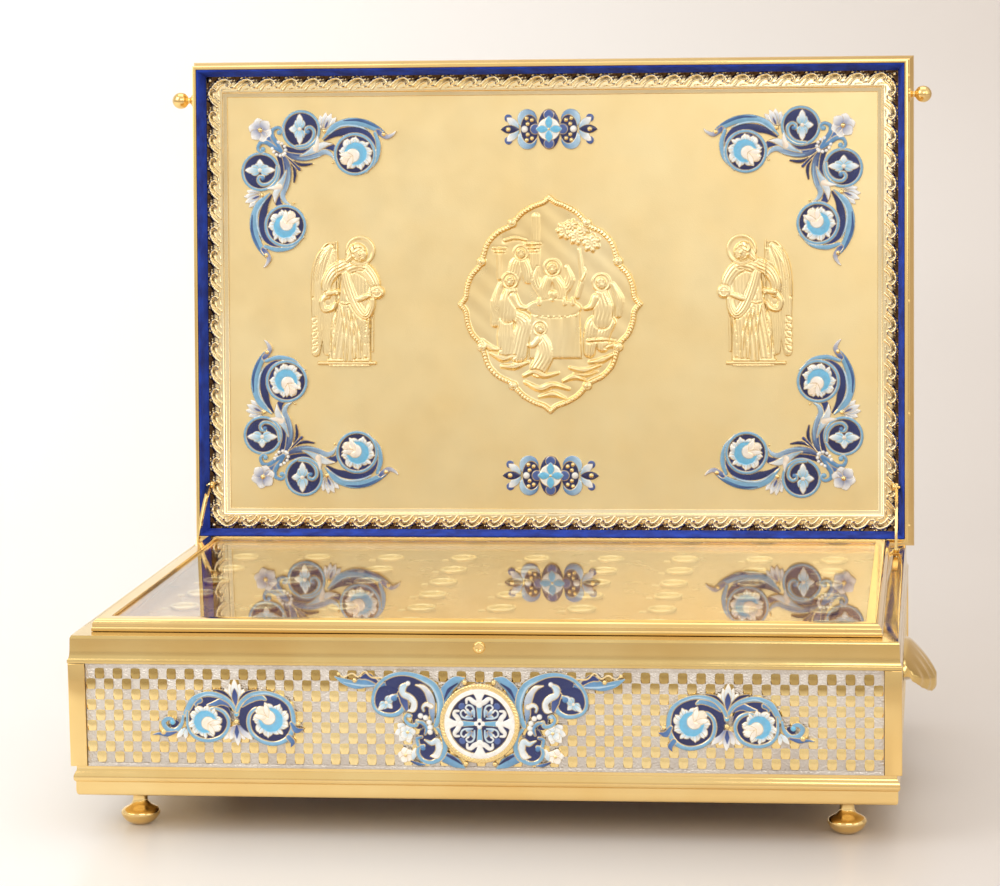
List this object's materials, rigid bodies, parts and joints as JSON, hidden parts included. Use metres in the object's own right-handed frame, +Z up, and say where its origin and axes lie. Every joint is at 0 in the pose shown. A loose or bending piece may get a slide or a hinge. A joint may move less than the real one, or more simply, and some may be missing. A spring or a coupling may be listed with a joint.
{
  "type": "reliquary casket",
  "caption": "Shallow gilt casket on turned feet, with a glazed relic tray, enamelled mounts and a hinged lid that stands open.",
  "frame": {"origin": "centre of the bounding box in plan, on the surface that the feet stand on, with the lid open", "axes": "+X to the casket's right as seen from the front, +Y from front to back, +Z up"},
  "size_m": [0.583, 0.4289, 0.4946],
  "materials": {
    "gilt_polished": "polished gilding",
    "gilt_satin": "satin gilding",
    "gilt_chased": "chased and gilded",
    "chequer": "silver and gold chequer",
    "enamel": "blue and white enamel",
    "velvet_blue": "blue velvet",
    "case_wood": "plain",
    "glass": "clear"
  },
  "bodies": {
    "base": {"foot_front_left": "gilt_polished", "foot_front_right": "gilt_polished", "foot_rear_left": "gilt_polished", "foot_rear_right": "gilt_polished", "plinth": "gilt_polished", "carcass": "case_wood", "post_front_left": "gilt_polished", "post_front_right": "gilt_polished", "post_rear_left": "gilt_polished", "post_rear_right": "gilt_polished", "panel_front": "chequer", "panel_rear": "chequer", "panel_left": "chequer", "panel_right": "chequer", "cornice": "gilt_polished", "lock_boss": "gilt_polished", "hinge_base_left": "gilt_polished", "hinge_base_right": "gilt_polished", "relic_plate": "gilt_satin", "glass_frame": "gilt_polished", "glass_pane": "glass", "handle_left": "gilt_chased", "handle_right": "gilt_chased", "scroll_mount": "enamel", "roundel": "enamel", "sprig_left": "enamel", "sprig_right": "enamel"},
    "lid": {"lid_shell": "gilt_polished", "lid_lining": "velvet_blue", "lid_border": "gilt_chased", "lid_field": "gilt_satin", "hinge_lid_left": "gilt_polished", "hinge_lid_right": "gilt_polished", "knob_left": "gilt_polished", "knob_right": "gilt_polished", "stay_screw_left": "gilt_polished", "stay_screw_right": "gilt_polished", "corner_mount_left_top": "enamel", "corner_mount_right_top": "enamel", "corner_mount_left_bottom": "enamel", "corner_mount_right_bottom": "enamel", "spray_top": "enamel", "spray_bottom": "enamel", "medallion": "gilt_satin", "angel_left": "gilt_satin", "angel_right": "gilt_satin"},
    "stay_left": {"stay_left": "gilt_polished"},
    "stay_right": {"stay_right": "gilt_polished"}
  },
  "joints": [
    {"name": "lid_hinge", "type": "hinge", "parent": "base", "child": "lid", "pos_m": [0, 0.156, 0.13345], "axis": [1, 0, 0], "range_deg": [0, 94.64]},
    {"name": "stay_left_pivot", "type": "hinge", "parent": "lid", "child": "stay_left", "pos_m": [-0.2614, 0.16858, 0.17407], "axis": [1, 0, 0], "range_deg": [-129, 0]},
    {"name": "stay_right_pivot", "type": "hinge", "parent": "lid", "child": "stay_right", "pos_m": [0.2614, 0.16858, 0.17407], "axis": [1, 0, 0], "range_deg": [-129, 0]}
  ],
  "couplings": [
    {"joint": "stay_left_pivot", "follows": "lid_hinge", "ratio": -1.354},
    {"joint": "stay_right_pivot", "follows": "lid_hinge", "ratio": -1.354}
  ]
}
